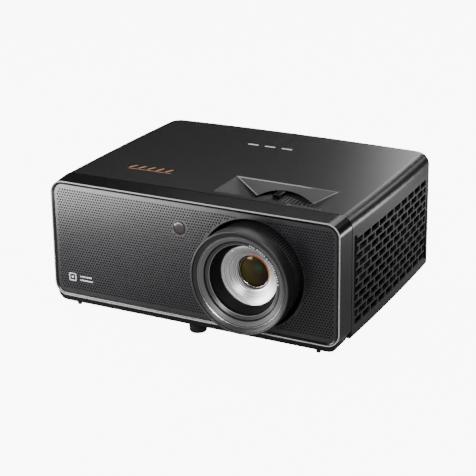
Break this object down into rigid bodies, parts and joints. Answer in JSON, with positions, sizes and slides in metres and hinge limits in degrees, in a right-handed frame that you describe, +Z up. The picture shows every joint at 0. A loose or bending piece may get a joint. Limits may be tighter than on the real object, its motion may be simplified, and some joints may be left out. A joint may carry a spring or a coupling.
{
  "type": "home projector",
  "caption": "Wide low projector with a hooded lens on the right of its dimpled face, a roof recess over the zoom ring, slotted sides and screw feet.",
  "frame": {"origin": "centre of the bounding box on the floor plane, under the middle of the case and hood", "axes": "+Z up, the lens looks along -Y, +X is the lens side (the right side seen from behind the projector is -X)"},
  "size_m": [0.3838, 0.33, 0.1752],
  "materials": {
    "charcoal_plastic": "satin moulded",
    "gloss_black_plastic": "polished",
    "bright_trim": "bright metallised edge",
    "fascia_plastic": "dimpled satin",
    "dark_window": "dark translucent filter",
    "grille_plastic": "fine texture",
    "rubber": "ribbed",
    "hood_plastic": "satin",
    "lens_black": "flocked black",
    "silver_reflector": "polished",
    "glass": "coated",
    "pcb": "solder mask",
    "aluminium": "bead blasted",
    "steel": "zinc plated",
    "brass": "knurled",
    "white_diffuser": "light pipe",
    "key_plastic": "soft touch",
    "ceramic": "phosphor coating"
  },
  "bodies": {
    "housing": {"ac_inlet": "gloss_black_plastic", "bottom_case": "charcoal_plastic", "case_screws": "steel", "control_recess": "charcoal_plastic", "foot_nuts": "brass", "front_collar": "gloss_black_plastic", "front_lens_element": "glass", "front_panel": "fascia_plastic", "front_stops": "rubber", "front_trim": "bright_trim", "imaging_board": "pcb", "indicator_bars": "white_diffuser", "ir_window": "dark_window", "laser_heatsink": "aluminium", "laser_module": "aluminium", "left_fan_frame": "lens_black", "left_side_grille": "grille_plastic", "left_speaker": "lens_black", "lens_barrel": "lens_black", "lens_hood": "hood_plastic", "lens_inner_cone": "lens_black", "lens_mount": "aluminium", "lens_retainer": "lens_black", "lens_silver_cone": "silver_reflector", "lens_step_ring": "hood_plastic", "lens_well": "lens_black", "main_board": "pcb", "mount_inserts": "brass", "optical_engine": "aluminium", "power_supply": "steel", "rear_lens_element": "glass", "rear_panel": "charcoal_plastic", "rear_ports": "steel", "recess_trim": "bright_trim", "right_fan_frame": "lens_black", "right_side_grille": "grille_plastic", "right_speaker": "lens_black", "top_cover": "charcoal_plastic", "wheel_motor": "steel"},
    "focus_ring": {"focus_ring": "hood_plastic"},
    "zoom_ring": {"zoom_ring": "hood_plastic", "zoom_lever": "gloss_black_plastic"},
    "phosphor_wheel": {"phosphor_wheel": "ceramic"},
    "left_fan_rotor": {"left_fan_rotor": "lens_black"},
    "right_fan_rotor": {"right_fan_rotor": "lens_black"},
    "front_foot_stem": {"front_foot_stem": "steel"},
    "front_foot_pad": {"front_foot_pad": "rubber"},
    "left_rear_foot_stem": {"left_rear_foot_stem": "steel"},
    "left_rear_foot_pad": {"left_rear_foot_pad": "rubber"},
    "right_rear_foot_stem": {"right_rear_foot_stem": "steel"},
    "right_rear_foot_pad": {"right_rear_foot_pad": "rubber"},
    "enter_button": {"enter_button": "key_plastic"},
    "up_button": {"up_button": "key_plastic"},
    "down_button": {"down_button": "key_plastic"},
    "left_button": {"left_button": "key_plastic"},
    "right_button": {"right_button": "key_plastic"},
    "power_button": {"power_button": "key_plastic"}
  },
  "joints": [
    {"name": "focus_ring_turn", "type": "hinge", "parent": "housing", "child": "focus_ring", "pos_m": [0.079, -0.129, 0.0968], "axis": [0, 1, 0], "range_deg": [-60, 60]},
    {"name": "zoom_ring_turn", "type": "hinge", "parent": "housing", "child": "zoom_ring", "pos_m": [0.079, -0.068, 0.0968], "axis": [0, 1, 0], "range_deg": [-18, 18]},
    {"name": "left_fan_spin", "type": "hinge", "parent": "housing", "child": "left_fan_rotor", "pos_m": [-0.1715, -0.045, 0.084], "axis": [1, 0, 0], "continuous": true},
    {"name": "right_fan_spin", "type": "hinge", "parent": "housing", "child": "right_fan_rotor", "pos_m": [0.1715, 0.085, 0.088], "axis": [1, 0, 0], "continuous": true},
    {"name": "phosphor_wheel_spin", "type": "hinge", "parent": "housing", "child": "phosphor_wheel", "pos_m": [0.06, 0.067, 0.101], "axis": [0, 1, 0], "continuous": true},
    {"name": "front_foot_travel", "type": "slide", "parent": "housing", "child": "front_foot_stem", "axis": [0, 0, -1], "range_m": [0, 0.009]},
    {"name": "front_foot_turn", "type": "hinge", "parent": "front_foot_stem", "child": "front_foot_pad", "pos_m": [-0.0055, -0.107, 0.008], "axis": [0, 0, 1], "range_deg": [0, 2160]},
    {"name": "left_rear_foot_travel", "type": "slide", "parent": "housing", "child": "left_rear_foot_stem", "axis": [0, 0, -1], "range_m": [0, 0.009]},
    {"name": "left_rear_foot_turn", "type": "hinge", "parent": "left_rear_foot_stem", "child": "left_rear_foot_pad", "pos_m": [-0.15, 0.127, 0.008], "axis": [0, 0, 1], "range_deg": [0, 2160]},
    {"name": "right_rear_foot_travel", "type": "slide", "parent": "housing", "child": "right_rear_foot_stem", "axis": [0, 0, -1], "range_m": [0, 0.009]},
    {"name": "right_rear_foot_turn", "type": "hinge", "parent": "right_rear_foot_stem", "child": "right_rear_foot_pad", "pos_m": [0.15, 0.127, 0.008], "axis": [0, 0, 1], "range_deg": [0, 2160]},
    {"name": "enter_press", "type": "slide", "parent": "housing", "child": "enter_button", "axis": [0, -1, 0], "range_m": [0, 0.0012], "stiffness_N_per_m": 500},
    {"name": "up_press", "type": "slide", "parent": "housing", "child": "up_button", "axis": [0, -1, 0], "range_m": [0, 0.0012], "stiffness_N_per_m": 500},
    {"name": "down_press", "type": "slide", "parent": "housing", "child": "down_button", "axis": [0, -1, 0], "range_m": [0, 0.0012], "stiffness_N_per_m": 500},
    {"name": "left_press", "type": "slide", "parent": "housing", "child": "left_button", "axis": [0, -1, 0], "range_m": [0, 0.0012], "stiffness_N_per_m": 500},
    {"name": "right_press", "type": "slide", "parent": "housing", "child": "right_button", "axis": [0, -1, 0], "range_m": [0, 0.0012], "stiffness_N_per_m": 500},
    {"name": "power_press", "type": "slide", "parent": "housing", "child": "power_button", "axis": [0, -1, 0], "range_m": [0, 0.0012], "stiffness_N_per_m": 500}
  ],
  "couplings": [
    {"joint": "front_foot_turn", "follows": "front_foot_travel", "rad_per_m": 4188.8},
    {"joint": "left_rear_foot_turn", "follows": "left_rear_foot_travel", "rad_per_m": 4188.8},
    {"joint": "right_rear_foot_turn", "follows": "right_rear_foot_travel", "rad_per_m": 4188.8}
  ]
}
